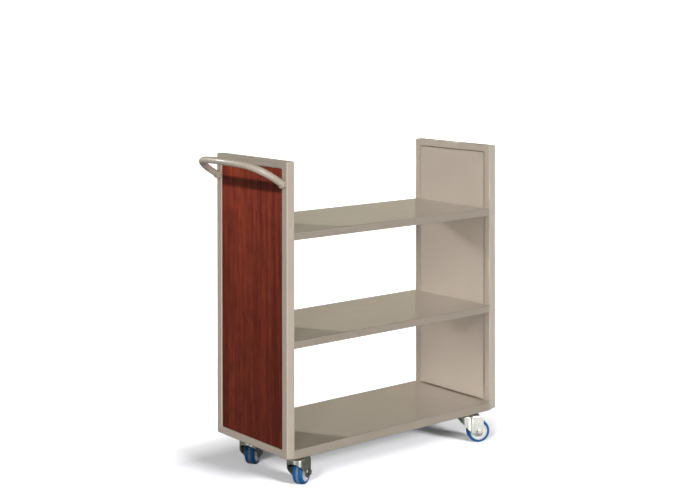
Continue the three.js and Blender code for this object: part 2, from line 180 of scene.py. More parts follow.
def arc(centre, radius, start, end, steps):
    """Points on an arc, in degrees, both ends included."""
    points = []
    for k in range(steps + 1):
        angle = math.radians(start + (end - start) * k / steps)
        points.append((centre[0] + radius * math.cos(angle), centre[1] + radius * math.sin(angle)))
    return points


def filleted(points, radius, steps=4):
    """(point, normal) pairs along a polyline with its corners rounded; normals point to its left."""
    corners = [Vector(p) for p in points]
    pairs = []

    def left_of(a, b):
        run = (b - a).normalized()
        return Vector((-run.y, run.x))

    pairs.append((corners[0], left_of(corners[0], corners[1])))
    for before, corner, after in zip(corners, corners[1:], corners[2:]):
        n0, n1 = left_of(before, corner), left_of(corner, after)
        turn = n0.angle_signed(n1)  # positive is clockwise
        side = -1 if turn > 0 else 1
        back = radius * math.tan(abs(turn) / 2)
        start = corner - (corner - before).normalized() * back
        centre = start + n0 * radius * side
        for k in range(steps + 1):
            normal = n0.copy()
            normal.rotate(Matrix.Rotation(-turn * k / steps, 2))
            pairs.append((centre - normal * radius * side, normal))
    pairs.append((corners[-1], left_of(corners[-2], corners[-1])))
    return pairs


def folded_sheet(bm, path, bend, thickness, start, end, place):
    """A sheet folded along a path, running from start to end. Its material lies to the left of the path."""
    pairs = filleted(path, bend)
    outer = [p for p, _ in pairs]
    inner = [p + n * thickness for p, n in pairs]
    outer0, inner0, outer1, inner1 = (
        [bm.verts.new(place(x, *p)) for p in side] for x in (start, end) for side in (outer, inner)
    )
    for i in range(len(pairs) - 1):
        j = i + 1
        bm.faces.new((outer0[i], outer0[j], outer1[j], outer1[i]))
        bm.faces.new((inner0[j], inner0[i], inner1[i], inner1[j]))
        bm.faces.new((outer0[j], outer0[i], inner0[i], inner0[j]))
        bm.faces.new((outer1[i], outer1[j], inner1[j], inner1[i]))
    for i in (0, -1):
        bm.faces.new((outer0[i], outer1[i], inner1[i], inner0[i]))


def add_object(name, bm, material):
    """Turns a bmesh into a smooth-shaded object."""
    mesh = bpy.data.meshes.new(name)
    bm.to_mesh(mesh)
    bm.free()
    mesh.shade_smooth()
    mesh.materials.append(material)
    piece = bpy.data.objects.new(name, mesh)
    bpy.context.scene.collection.objects.link(piece)
    return piece


def ease_edges(piece, width, angle):
    modifier = piece.modifiers.new("edges", "BEVEL")
    modifier.width = width
    modifier.segments = 2
    modifier.limit_method = "ANGLE"
    modifier.angle_limit = math.radians(angle)
    modifier.harden_normals = False


def stand_for(piece, node, body):
    """Lets a piece stand for a CAD node and ride on its body."""
    modifier = piece.modifiers.new("normals", "WEIGHTED_NORMAL")
    modifier.weight = 50
    modifier.keep_sharp = True
    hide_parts(node)
    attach(piece, body)


def finish_piece(name, bm, material, node, body, bevel=0.0, bevel_angle=50):
    """Turns a closed bmesh into the piece that stands for a CAD node."""
    bmesh.ops.remove_doubles(bm, verts=bm.verts, dist=WELD_DISTANCE)
    bmesh.ops.recalc_face_normals(bm, faces=bm.faces)
    piece = add_object(name, bm, material)
    if bevel:
        ease_edges(piece, bevel, bevel_angle)
    stand_for(piece, node, body)


# ---- materials ---------------------------------------------------------------------------------


def put(tree, kind, inputs=None, **settings):
    """Adds a shader node. Inputs are values, or sockets to link from."""
    made = tree.nodes.new(kind)
    for key, value in settings.items():
        setattr(made, key, value)
    for key, value in (inputs or {}).items():
        if isinstance(value, bpy.types.NodeSocket):
            tree.links.new(value, made.inputs[key])
        else:
            made.inputs[key].default_value = value
    return made


def surface(name):
    """An empty material with its output node, and the object coordinates its patterns follow."""
    material = bpy.data.materials.new(name)
    material.use_nodes = True
    tree = material.node_tree
    tree.nodes.clear()
    coords = put(tree, "ShaderNodeTexCoord").outputs["Object"]
    return material, tree, coords


def noise(tree, coords, scale, detail=2.0, roughness=0.5, distortion=0.0):
    pattern = {"Scale": scale, "Detail": detail, "Roughness": roughness, "Distortion": distortion}
    return put(tree, "ShaderNodeTexNoise", {"Vector": coords, **pattern}).outputs["Fac"]


def stretched(tree, coords, scale):
    return put(tree, "ShaderNodeMapping", {"Vector": coords, "Scale": scale}).outputs["Vector"]


def between(tree, value, low, high, out_low=0.0, out_high=1.0):
    """Carries a value from the range low to high over to the range out_low to out_high."""
    ranges = {"From Min": low, "From Max": high, "To Min": out_low, "To Max": out_high}
    return put(tree, "ShaderNodeMapRange", {"Value": value, **ranges}).outputs["Result"]


def vector_math(tree, operation, first, second=None, output="Vector"):
    """A vector operation on sockets or fixed vectors."""
    inputs = {0: first} if second is None else {0: first, 1: second}
    return put(tree, "ShaderNodeVectorMath", inputs, operation=operation).outputs[output]


def mixed(tree, factor, a, b, blend="MIX"):
    made = tree.nodes.new("ShaderNodeMix")
    made.data_type = "RGBA"
    made.blend_type = blend
    made.clamp_factor = True
    for index, value in ((0, factor), (6, a), (7, b)):
        if isinstance(value, bpy.types.NodeSocket):
            tree.links.new(value, made.inputs[index])
        elif index:
            made.inputs[index].default_value = (*value, 1)
        else:
            made.inputs[index].default_value = value
    return made.outputs[2]


def calc(tree, operation, a, b=0.0):
    made = tree.nodes.new("ShaderNodeMath")
    made.operation = operation
    for index, value in enumerate((a, b)):
        if isinstance(value, bpy.types.NodeSocket):
            tree.links.new(value, made.inputs[index])
        else:
            made.inputs[index].default_value = value
    return made.outputs[0]


def bump(tree, height, strength, distance, normal=None):
    inputs = {"Height": height, "Strength": strength, "Distance": distance}
    if normal is not None:
        inputs["Normal"] = normal
    return put(tree, "ShaderNodeBump", inputs).outputs["Normal"]


def close_surface(tree, inputs):
    shader = put(tree, "ShaderNodeBsdfPrincipled", inputs)
    output = tree.nodes.new("ShaderNodeOutputMaterial")
    tree.links.new(shader.outputs["BSDF"], output.inputs["Surface"])


def painted_steel(name="painted_steel"):
    """Warm grey powder coat: fine orange peel, faintly cloudy colour and gloss, thin paint along edges."""
    material, tree, coords = surface(name)
    cloud = between(tree, noise(tree, coords, 5.0, 3.0), 0.3, 0.7)
    speck = between(tree, noise(tree, coords, 900.0, 1.0), 0.35, 0.75)
    colour = mixed(tree, cloud, (0.510, 0.437, 0.356), (0.540, 0.463, 0.377))
    colour = mixed(tree, calc(tree, "MULTIPLY", speck, 0.12), colour, (0.60, 0.52, 0.43))
    rounded = put(tree, "ShaderNodeBevel", {"Radius": 0.0016}, samples=4).outputs["Normal"]
    true = put(tree, "ShaderNodeNewGeometry").outputs["Normal"]
    facing = vector_math(tree, "DOT_PRODUCT", rounded, true, "Value")
    edge = between(tree, facing, 0.995, 0.90)
    colour = mixed(tree, calc(tree, "MULTIPLY", edge, 0.08), colour, (0.66, 0.58, 0.49))
    gloss = between(tree, noise(tree, coords, 14.0, 4.0), 0.3, 0.7, 0.33, 0.41)
    peel = bump(tree, noise(tree, coords, 320.0, 1.0), 0.03, 0.0003)
    grain = bump(tree, noise(tree, coords, 2200.0, 1.0), 0.06, 0.0002, peel)
    close_surface(
        tree,
        {
            "Base Color": colour,
            "Roughness": gloss,
            "Normal": grain,
            "Coat Weight": 0.55,
            "Coat Roughness": 0.05,
            "Coat Normal": peel,
        },
    )
    return material


def wood_veneer(name="wood_veneer"):
    """Red-brown sapele veneer with a dull finish, its grain running up the board."""
    material, tree, coords = surface(name)
    slow = {"Vector": stretched(tree, coords, (1, 5, 1.1)), "Scale": 1.0, "Detail": 2.0}
    wander = put(tree, "ShaderNodeTexNoise", slow).outputs["Color"]
    warped = put(tree, "ShaderNodeMix", {0: 0.045, 4: coords, 5: wander}, data_type="VECTOR")
    grain_space = warped.outputs[1]
    band = noise(tree, stretched(tree, grain_space, (1, 17, 0.9)), 1.0, 3.0, 0.55, 0.6)
    stripe = noise(tree, stretched(tree, grain_space, (1, 90, 2.6)), 1.0, 5.0, 0.65)
    mottle = noise(tree, stretched(tree, grain_space, (1, 60, 22)), 1.0, 2.0, 0.5)
    fibre = noise(tree, stretched(tree, grain_space, (1, 800, 9.0)), 1.0, 3.0, 0.6)
    pore = between(tree, noise(tree, stretched(tree, coords, (1, 1500, 34.0)), 1.0, 1.0), 0.60, 0.72)
    colour = mixed(tree, between(tree, band, 0.34, 0.66), (0.095, 0.0110, 0.0065), (0.185, 0.0270, 0.0125))
    colour = mixed(tree, between(tree, stripe, 0.42, 0.66, 0.0, 0.55), colour, (0.290, 0.0580, 0.0220))
    colour = mixed(tree, between(tree, mottle, 0.42, 0.68, 0.0, 0.50), colour, (0.070, 0.0110, 0.0070))
    colour = mixed(tree, between(tree, fibre, 0.35, 0.7, 0.0, 0.45), colour, (0.070, 0.0095, 0.0060))
    colour = mixed(tree, calc(tree, "MULTIPLY", pore, 0.40), colour, (0.025, 0.0045, 0.0035))
    height = calc(tree, "SUBTRACT", fibre, calc(tree, "MULTIPLY", pore, 0.8))
    relief = bump(tree, height, 0.12, 0.0003)
    close_surface(
        tree,
        {
            "Base Color": colour,
            "Roughness": between(tree, fibre, 0.3, 0.7, 0.45, 0.60),
            "Specular IOR Level": 0.10,
            "Normal": relief,
        },
    )
    return material


def zinc_plate(name="zinc_plate"):
    """Bright zinc plating over pressed steel: rolling grain, soft cloudy tints and small pits."""
    material, tree, coords = surface(name)
    cloud = between(tree, noise(tree, coords, 45.0, 3.0), 0.3, 0.7)
    tint = between(tree, noise(tree, coords, 22.0, 2.0), 0.35, 0.65)
    colour = mixed(tree, tint, (0.40, 0.41, 0.36), (0.44, 0.41, 0.33))
    colour = mixed(tree, cloud, colour, (0.54, 0.55, 0.52))
    rolled = noise(tree, stretched(tree, coords, (300, 300, 2600)), 1.0, 2.0)
    gloss = between(tree, calc(tree, "ADD", calc(tree, "MULTIPLY", cloud, 0.6), rolled), 0.3, 1.3, 0.12, 0.24)
    relief = bump(tree, rolled, 0.10, 0.0002)
    pits = bump(tree, noise(tree, coords, 1400.0, 2.0), 0.10, 0.0002, relief)
    close_surface(tree, {"Base Color": colour, "Metallic": 1.0, "Roughness": gloss, "Normal": pits})
    return material


def white_hub(name="white_hub"):
    """White moulded plastic with a fine spark-eroded texture and a little grime."""
    material, tree, coords = surface(name)
    grime = between(tree, noise(tree, coords, 60.0, 4.0), 0.5, 0.8, 0.0, 0.25)
    colour = mixed(tree, grime, (0.82, 0.83, 0.82), (0.55, 0.55, 0.52))
    relief = bump(tree, noise(tree, coords, 1600.0, 2.0), 0.15, 0.0002)
    close_surface(tree, {"Base Color": colour, "Roughness": 0.42, "Normal": relief})
    return material


def blue_tyre(name, axle, centre):
    """Blue polyurethane tread with a paler, scuffed running band round its middle."""
    material, tree, coords = surface(name)
    from_centre = vector_math(tree, "SUBTRACT", coords, centre)
    across = vector_math(tree, "DOT_PRODUCT", from_centre, axle, "Value")
    ragged = calc(tree, "MULTIPLY", calc(tree, "SUBTRACT", noise(tree, coords, 260.0, 3.0), 0.5), 0.006)
    off_centre = calc(tree, "ABSOLUTE", calc(tree, "ADD", across, ragged))
    band = between(tree, off_centre, 0.0045, 0.0030)
    cloud = between(tree, noise(tree, coords, 70.0, 3.0), 0.3, 0.7)
    colour = mixed(tree, cloud, (0.002, 0.095, 0.31), (0.003, 0.125, 0.38))
    dust = between(tree, noise(tree, coords, 700.0, 3.0), 0.45, 0.75, 0.0, 0.18)
    colour = mixed(tree, dust, colour, (0.07, 0.13, 0.22))
    colour = mixed(tree, calc(tree, "MULTIPLY", band, 0.8), colour, (0.23, 0.26, 0.28))
    gloss = calc(tree, "ADD", calc(tree, "MULTIPLY", band, 0.25), 0.38)
    relief = bump(tree, noise(tree, coords, 900.0, 3.0), 0.12, 0.0003)
    close_surface(
        tree, {"Base Color": colour, "Roughness": gloss, "Specular IOR Level": 0.25, "Normal": relief}
    )
    return material


def bush_nylon(name="bush_nylon"):
    material, tree, coords = surface(name)
    tone = between(tree, noise(tree, coords, 120.0, 3.0), 0.3, 0.7)
    colour = mixed(tree, tone, (0.62, 0.60, 0.54), (0.70, 0.68, 0.62))
    relief = bump(tree, noise(tree, coords, 1500.0, 2.0), 0.12, 0.0002)
    close_surface(tree, {"Base Color": colour, "Roughness": 0.5, "Normal": relief})
    return material


PAINT = painted_steel()
VENEER = wood_veneer()
ZINC = zinc_plate()
HUB = white_hub()
NYLON = bush_nylon()

# ---- end frames and their panels ---------------------------------------------------------------


LEFT_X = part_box("left_end_frame")[0].x
MIDDLE_X = (LEFT_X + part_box("right_end_frame")[1].x) / 2


def facing_out(node):
    """(outer face, direction into the cart) along X of a piece of one end."""
    lo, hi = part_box(node)
    return (lo.x, 1) if lo.x + hi.x < 2 * MIDDLE_X else (hi.x, -1)


def edge_steps(radius, steps=5):
    """(depth, inset) pairs round a quarter-round edge, from the face to the side."""
    turns = [math.radians(90 * k / steps) for k in range(steps, -1, -1)]
    return [(radius * (1 - math.sin(turn)), radius * (1 - math.cos(turn))) for turn in turns]


def eased_slab(thickness, radius, steps=5):
    """(depth, inset) pairs through a slab with both its faces' edges rounded."""
    quarter = edge_steps(radius, steps)
    return quarter + [(thickness - depth, inset) for depth, inset in reversed(quarter)]


def face_ring(lo, hi, inset, corner):
    """The (y, z) outline of a box's X face, drawn in by an inset."""
    return rounded_rectangle(lo.y + inset, hi.y - inset, lo.z + inset, hi.z - inset, corner - inset)


def make_end_frame(node):
    lo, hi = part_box(node)
    outer_x, into = facing_out(node)
    thickness = hi.x - lo.x
    outline, window = [], []
    for d, inset in eased_slab(thickness, FRAME_EDGE):
        x = outer_x + into * d
        rise = UNDERSIDE_RISE * (1 - d / thickness)
        edge = rounded_rectangle(
            lo.y + inset, hi.y - inset, lo.z + rise + inset, hi.z - inset, FRAME_CORNER - inset
        )
        hole = rounded_rectangle(
            lo.y + SIDE_BAR - inset,
            hi.y - SIDE_BAR + inset,
            lo.z + BOTTOM_BAR - inset,
            hi.z - TOP_BAR + inset,
            WINDOW_CORNER + inset,
        )
        outline.append([(x, y, z) for y, z in edge])
        window.append([(x, y, z) for y, z in hole])
    bm = bmesh.new()
    loft(bm, outline + window[::-1], ring=True)
    finish_piece(node + "_tube", bm, PAINT, node, ROOT)


def make_inner_panel(node):
    lo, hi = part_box(node)
    outer_x, into = facing_out(node)
    depth = hi.x - lo.x

    def ring(d, inset):
        # d is measured from the panel's face, which looks into the cart
        x = outer_x + into * (depth - d)
        return [(x, y, z) for y, z in face_ring(lo, hi, inset, PANEL_CORNER)]

    loops = [ring(d, inset) for d, inset in edge_steps(PANEL_BEND)]
    loops.append(ring(depth, 0))
    loops.append(ring(depth, PANEL_SHEET))
    for d, inset in reversed(edge_steps(PANEL_BEND - PANEL_SHEET)):
        loops.append(ring(d + PANEL_SHEET, inset + PANEL_SHEET))
    bm = bmesh.new()
    loft(bm, loops, cap_start=True, cap_end=True)
    finish_piece(node + "_tray", bm, PAINT, node, ROOT)


def make_veneer(node):
    lo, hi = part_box(node)
    loops = []
    for d, inset in eased_slab(hi.x - lo.x, VENEER_EASE, 3):
        loops.append([(lo.x + d, y, z) for y, z in face_ring(lo, hi, inset, WINDOW_CORNER)])
    bm = bmesh.new()
    loft(bm, loops, cap_start=True, cap_end=True)
    finish_piece(node + "_board", bm, VENEER, node, ROOT)


for end in ENDS:
    make_end_frame(end + "_end_frame")
    make_inner_panel(end + "_inner_panel")
    make_veneer(end + "_veneer_panel")

# ---- shelves -----------------------------------------------------------------------------------


def add_shelf_end(bm, place, x, into, foot, half, height):
    """A plate that closes one end of the pan, inside its folded sheet."""
    sink = SHELF_SHEET / 2
    low, wide = foot - sink, half - sink
    plate = [(-low, -height + sink), (low, -height + sink), (wide, -sink), (-wide, -sink)]
    faces = [[place(x + into * d, y, z) for y, z in plate] for d in (END_PLATE_GAP, SHELF_SHEET)]
    loft(bm, faces, cap_start=True, cap_end=True)


def add_lip_weld(bm, place, x, into, side, levels):
    """The weld between a lip and the post. It fills the groove beside the post's rounded edge."""
    on_post, on_shelf = x - into * LIP_WELD_ON_POST, x + into * LIP_WELD_ON_SHELF
    loops = []
    for z, face in levels:
        proud, deep = face + LIP_WELD_PROUD, face - LIP_WELD_DEPTH
        fill = [(on_post, proud), (on_shelf, proud), (on_shelf, deep), (on_post, deep)]
        loops.append([place(along_x, side * across, z) for along_x, across in fill])
    loft(bm, loops, cap_start=True, cap_end=True)


def make_shelf(node, lean):
    """A folded pan with a lip along the front and the back, which lean inwards by some distance."""
    lo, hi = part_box(node)
    height = hi.z - lo.z
    half = (hi.y - lo.y) / 2
    middle = (hi.y + lo.y) / 2
    foot = half - lean
    path = [
        (foot - LIP_RETURN, -height),
        (foot, -height),
        (half, 0),
        (-half, 0),
        (-foot, -height),
        (-foot + LIP_RETURN, -height),
    ]

    def place(x, y, z):
        return Vector((x, middle + y, hi.z + z))

    bm = bmesh.new()
    folded_sheet(bm, path, SHELF_BEND, SHELF_SHEET, lo.x, hi.x, place)
    ends = ((lo.x, 1), (hi.x, -1))
    for x, into in ends:
        add_shelf_end(bm, place, x, into, foot, half, height)
    levels = ((-LIP_WELD_END, half), (-height + LIP_WELD_END, foot + lean * LIP_WELD_LEAN))
    for x, into in ends:
        for side in (-1, 1):
            add_lip_weld(bm, place, x, into, side, levels)
    finish_piece(node + "_pan", bm, PAINT, node, ROOT, LIP_EDGE, 55)


make_shelf("top_shelf", LIP_LEAN)
make_shelf("middle_shelf", LIP_LEAN)
make_shelf("bottom_shelf", 0.0)

# ---- handle ------------------------------------------------------------------------------------


def handle_path():
    """The bow's centre line as (across, reach) points, drawn flat, without its two straight ends."""
    across = HANDLE_HALF_WIDTH - HANDLE_BEND
    crown_centre = HANDLE_REACH - HANDLE_CROWN
    bend_centre = crown_centre + math.sqrt((HANDLE_CROWN - HANDLE_BEND) ** 2 - across**2)
    bend_angle = math.degrees(math.atan2(bend_centre - crown_centre, across))
    points = arc((-across, bend_centre), HANDLE_BEND, 180, 180 - bend_angle, 18)
    points += arc((0, crown_centre), HANDLE_CROWN, 180 - bend_angle, bend_angle, 24)[1:-1]
    points += arc((across, bend_centre), HANDLE_BEND, bend_angle, 0, 18)
    return points


def handle_ring(centre, run):
    """A ring round the tube where its centre line passes a point in the direction run."""
    side = run.cross(HANDLE_UP)
    turns = [2 * math.pi * k / HANDLE_SIDES for k in range(HANDLE_SIDES)]
    return [centre + (side * math.cos(a) + HANDLE_UP * math.sin(a)) * HANDLE_RADIUS for a in turns]


def foot_ring(centre, run, depth, flare):
    """A ring at a foot, widened by flare. It slants: its top lies in the frame and its bottom outside."""
    loop = []
    for p in handle_ring(centre, run):
        p = p + HANDLE_OUT * ((p.x - (LEFT_X - depth)) / HANDLE_OUT.x)
        away = p - centre
        away.x = 0
        loop.append(p + away.normalized() * flare)
    return loop


def make_handle(node):
    lo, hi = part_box(node)
    foot_z = hi.z - HANDLE_RADIUS - HANDLE_REACH * math.sin(HANDLE_SLOPE)
    origin = Vector((LEFT_X, (lo.y + hi.y) / 2, foot_z))
    half = Vector((0, HANDLE_HALF_WIDTH, 0))
    collar = [(-HANDLE_COLLAR, HANDLE_WELD)] + edge_steps(HANDLE_WELD, 4)
    path = handle_path()
    last = len(path) - 1
    loops = [foot_ring(origin - half, HANDLE_OUT, depth, flare) for depth, flare in collar]
    for i, (across, reach) in enumerate(path):
        if i == 0:
            run = HANDLE_OUT
        elif i == last:
            run = -HANDLE_OUT
        else:
            before, after = path[i - 1], path[i + 1]
            run = Vector((0, after[0] - before[0], 0)) + HANDLE_OUT * (after[1] - before[1])
            run.normalize()
        loops.append(handle_ring(origin + Vector((0, across, 0)) + HANDLE_OUT * reach, run))
    loops += [foot_ring(origin + half, -HANDLE_OUT, depth, flare) for depth, flare in reversed(collar)]
    bm = bmesh.new()
    loft(bm, loops, cap_start=True, cap_end=True)
    finish_piece("push_handle_tube", bm, PAINT, node, ROOT)


make_handle("push_handle")

# ---- castors -----------------------------------------------------------------------------------

FORK_SHEET = 2.5 * MM
FORK_EDGE = 0.5 * MM
HOOD_RADIUS = 29.5 * MM
CREASE_BLEND = 1.6 * MM  # softness of the crease between the hood's round nose and its flat legs
FORK_HALF_WIDTH = 25 * MM
FORK_SHOULDER = 12 * MM
FORK_FRONT_EDGE = 49.5 * MM  # height at which the legs' sloping front edge passes the swivel axis
FORK_LEG_END = 15 * MM
FORK_REAR_DROP = 23 * MM
FORK_REAR_SLOPE = 17 * MM
CROWN_RADIUS = 27 * MM
FORK_WELD_DISTANCE = 0.02 * MM  # vertices of the fork nearer than this become one

# How many strips of faces each part of the fork's surface is divided into.
HEIGHT_STEPS = 28
SHOULDER_STEPS = 8
NOSE_STEPS = 28
CROWN_STEPS = 14
LEG_STEPS = 20
FLAT_STEPS = 5

TREAD_HALF_WIDTH = 16.5 * MM
TREAD_ROUND = 6 * MM
TREAD_CHEEK = 1 * MM
TREAD_RECESS = 0.6 * MM
HUB_RADIUS = 29 * MM
# The hub's section on one side of the wheel's middle, as (radius, height) in mm: rim, dished web and boss.
HUB_SECTION = (
    (29, 15),
    (28.5, 15.6),
    (26.8, 15.6),
    (26.1, 15),
    (24.6, 10),
    (23.4, 9),
    (14, 9.4),
    (12.6, 10.4),
    (11.4, 20.8),
    (10.6, 21.6),
    (8.3, 21.6),
)
BUSH_HALF_LENGTH = 22.2 * MM
BUSH_RADIUS = 7.9 * MM
BUSH_EDGE = 0.3 * MM

AXLE_RADIUS = 5 * MM
AXLE_PLAY = 0.4 * MM
AXLE_HEAD_RADIUS = 9.4 * MM
AXLE_HEAD_HEIGHT = 5.6 * MM
AXLE_NUT_HEIGHT = 7 * MM
AXLE_END = 34 * MM
AXLE_END_EASE = 0.8 * MM
WASHER_FACE = 0.8 * MM  # the round face under the axle bolt's head
WASHER_INSET = 0.7 * MM
WASHER_EASE = 0.3 * MM
SHANK_IN_HEAD = 1 * MM
HEX_CHAMFER = 0.9 * MM
HEX_BASE_CHAMFER = 0.2 * MM
NUT_BASE_CHAMFER = 0.4 * MM
HEX_EDGE = 0.45 * MM
CONTACT_GAP = 0.3 * MM

PLATE_SHEET = 3 * MM
PLATE_CORNER = 6 * MM
PLATE_EDGE = 0.6 * MM
RACE_RADIUS = 29 * MM
RACE_BEND = 3 * MM
RACE_FLARE = 2 * MM
RACE_IN_PLATE = 1 * MM
PIN_RADIUS = 5 * MM
PIN_HEAD_RADIUS = 9 * MM
PIN_HEAD_HEIGHT = 4 * MM
PIN_DOME = 3 * MM
PIN_RIM = 0.4 * MM
PIN_EDGE = 0.3 * MM

BOLT_HEX_RADIUS = 7.5 * MM
BOLT_FLANGE_RADIUS = 7 * MM
BOLT_FLANGE_HEIGHT = 0.8 * MM
BOLT_FLANGE_EASE = 0.25 * MM
BOLT_HEAD_HEIGHT = 5 * MM
BOLT_HEX_HEIGHT = 4.4 * MM
BOLT_SHANK_RADIUS = 4 * MM
BOLT_SHANK_EASE = 0.6 * MM
BOLT_EDGE = 0.4 * MM
BOLTS = (1, 2, 3, 4)

JOINTS = {joint["name"]: joint for joint in frame["joints"]}


def joint_place(name):
    return Vector(JOINTS[name]["pos_m"]), Vector(JOINTS[name]["axis"])


def along(direction, origin):
    """A matrix that puts local Z along a direction, at an origin."""
    return Matrix.Translation(origin) @ direction.to_track_quat("Z", "Y").to_matrix().to_4x4()


def hexagon(bm, place, radius, low, high, chamfer_low, chamfer_high):
    """A hexagonal head or nut with chamfered faces, between two heights on the local Z axis of place."""
    corners = [(math.cos(math.radians(60 * k)), math.sin(math.radians(60 * k))) for k in range(6)]
    levels = (
        (low, radius - chamfer_low),
        (low + chamfer_low / 2, radius),
        (high - chamfer_high / 2, radius),
        (high, radius - chamfer_high),
    )
    loops = [[place @ Vector((r * x, r * y, height)) for x, y in corners] for height, r in levels]
    loft(bm, loops, cap_start=True, cap_end=True)


def disc_profile(radius, low, high, ease):
    """Half of a solid disc's section with eased rims, from the axis round to the axis."""
    return (
        [(AXIS_RADIUS, low)]
        + arc((radius - ease, low + ease), ease, -90, 0, 3)
        + arc((radius - ease, high - ease), ease, 0, 90, 3)
        + [(AXIS_RADIUS, high)]
    )


class ForkShape:
    """The pressed fork's outer surface: a hood with a round nose over the swivel, and two flat legs.

    u runs from the swivel axis to the axle, v across the fork and z up.
    """

    def __init__(self, swivel, trail, axle_point, top):
        self.swivel = swivel
        self.trail = trail
        self.across = Vector((0, 0, 1)).cross(trail)
        self.top = top
        self.shoulder_z = top - FORK_SHOULDER
        self.axle_u = (axle_point - swivel).dot(trail)
        self.axle_z = axle_point.z
        self.rear = self.axle_u + FORK_LEG_END
        # The leg's sloping front edge, at 45 degrees, meets its round end here.
        self.end_u = FORK_FRONT_EDGE - self.axle_z + FORK_LEG_END * math.sqrt(2)
        self.tangent_u = self.end_u - FORK_LEG_END / math.sqrt(2)
        self.flat_half = FORK_HALF_WIDTH - FORK_SHOULDER
        self.flat_radius = HOOD_RADIUS - FORK_SHOULDER
        self.crown_u = math.sqrt(CROWN_RADIUS**2 - self.flat_half**2)

        foot = self.axle_z - FORK_LEG_END
        rise = self.shoulder_z - foot
        behind = self.rear - self.crown_u
        self.levels = [foot + rise * i / HEIGHT_STEPS for i in range(HEIGHT_STEPS + 1)]
        self.turns = [math.radians(90 * k / SHOULDER_STEPS) for k in range(1, SHOULDER_STEPS + 1)]
        self.crown_steps = [self.crown_u * i / CROWN_STEPS for i in range(CROWN_STEPS + 1)]
        self.leg_steps = [self.crown_u + behind * i / LEG_STEPS for i in range(1, LEG_STEPS + 1)]
        self.nose = arc((0, 0), 1, 90, 270, NOSE_STEPS)

    def lowest(self, u):
        """The height of the leg's lower edge."""
        if u <= self.tangent_u:
            return FORK_FRONT_EDGE - u
        centre = min(max(u, self.end_u), self.axle_u)
        return self.axle_z - math.sqrt(max(FORK_LEG_END**2 - (u - centre) ** 2, 0))

    def highest(self, u):
        """The height of the leg's upper edge, which slopes down at the rear."""
        slope = FORK_REAR_DROP / FORK_REAR_SLOPE
        return min(self.top, self.top - FORK_REAR_DROP + (self.rear - u) * slope)

    def half_width(self, u, radius, half):
        """Half the hood's width at u: round near the nose, straight along the legs, with a soft crease."""
        across = math.sqrt(max(radius**2 - u**2, 0))
        overlap = max(CREASE_BLEND - abs(across - half), 0) / CREASE_BLEND
        return max(across, half) + overlap**2 * CREASE_BLEND / 4

    def world(self, u, v, z):
        return self.swivel + self.trail * u + self.across * v + Vector((0, 0, z - self.swivel.z))

    def leg_section(self, u, side):
        """Points up a leg and round its shoulder, held between the leg's edges."""
        low, high = self.lowest(u), self.highest(u)
        edge = self.half_width(u, HOOD_RADIUS, FORK_HALF_WIDTH)
        ceiling = min(high, self.shoulder_z)
        points = [self.world(u, side * edge, min(max(z, low), ceiling)) for z in self.levels]
        for turn in self.turns:
            if self.shoulder_z + FORK_SHOULDER * math.sin(turn) > high:
                turn = math.asin(max(high - self.shoulder_z, 0) / FORK_SHOULDER)
            inset = FORK_SHOULDER * (1 - math.cos(turn))
            edge = self.half_width(u, HOOD_RADIUS - inset, FORK_HALF_WIDTH - inset)
            z = min(self.shoulder_z + FORK_SHOULDER * math.sin(turn), high)
            points.append(self.world(u, side * edge, z))
        return points

    def nose_section(self, x, y):
        """Points up the nose in one direction from the swivel axis, and round its shoulder."""
        low = self.lowest(HOOD_RADIUS * x)
        u, v = HOOD_RADIUS * x, HOOD_RADIUS * y
        points = [self.world(u, v, min(max(z, low), self.shoulder_z)) for z in self.levels]
        for turn in self.turns:
            radius = HOOD_RADIUS - FORK_SHOULDER * (1 - math.cos(turn))
            z = self.shoulder_z + FORK_SHOULDER * math.sin(turn)
            points.append(self.world(radius * x, radius * y, z))
        return points

    def add_walls(self, bm):
        """The walls, from the rear of one leg, round the nose, to the rear of the other."""
        along_leg = self.crown_steps[1:] + self.leg_steps
        sections = [self.leg_section(u, 1) for u in reversed(along_leg)]
        sections += [self.nose_section(x, y) for x, y in self.nose]
        sections += [self.leg_section(u, -1) for u in along_leg]
        loft(bm, sections, open_loop=True)

    def add_crown(self, bm):
        """A fan over the nose, then rows across between the legs, back to the crown's round rear edge."""
        radii = [self.flat_radius * k / FLAT_STEPS for k in range(FLAT_STEPS + 1)]
        shares = [k / FLAT_STEPS for k in range(-FLAT_STEPS, FLAT_STEPS + 1)]
        fan = [[self.world(r * x, r * y, self.top) for r in radii] for x, y in self.nose]
        loft(bm, fan, open_loop=True)
        rows = []
        for u in self.crown_steps:
            edge = self.half_width(u, self.flat_radius, self.flat_half)
            rows.append([self.world(u, edge * share, self.top) for share in shares])
        loft(bm, rows, open_loop=True)
        rim = []
        for share in shares:
            v = self.half_width(self.crown_u, self.flat_radius, self.flat_half) * share
            behind = math.sqrt(CROWN_RADIUS**2 - min(abs(v), self.flat_half) ** 2)
            steps = (self.crown_u, (self.crown_u + behind) / 2, behind)
            rim.append([self.world(u, v, self.top) for u in steps])
        loft(bm, rim, open_loop=True)


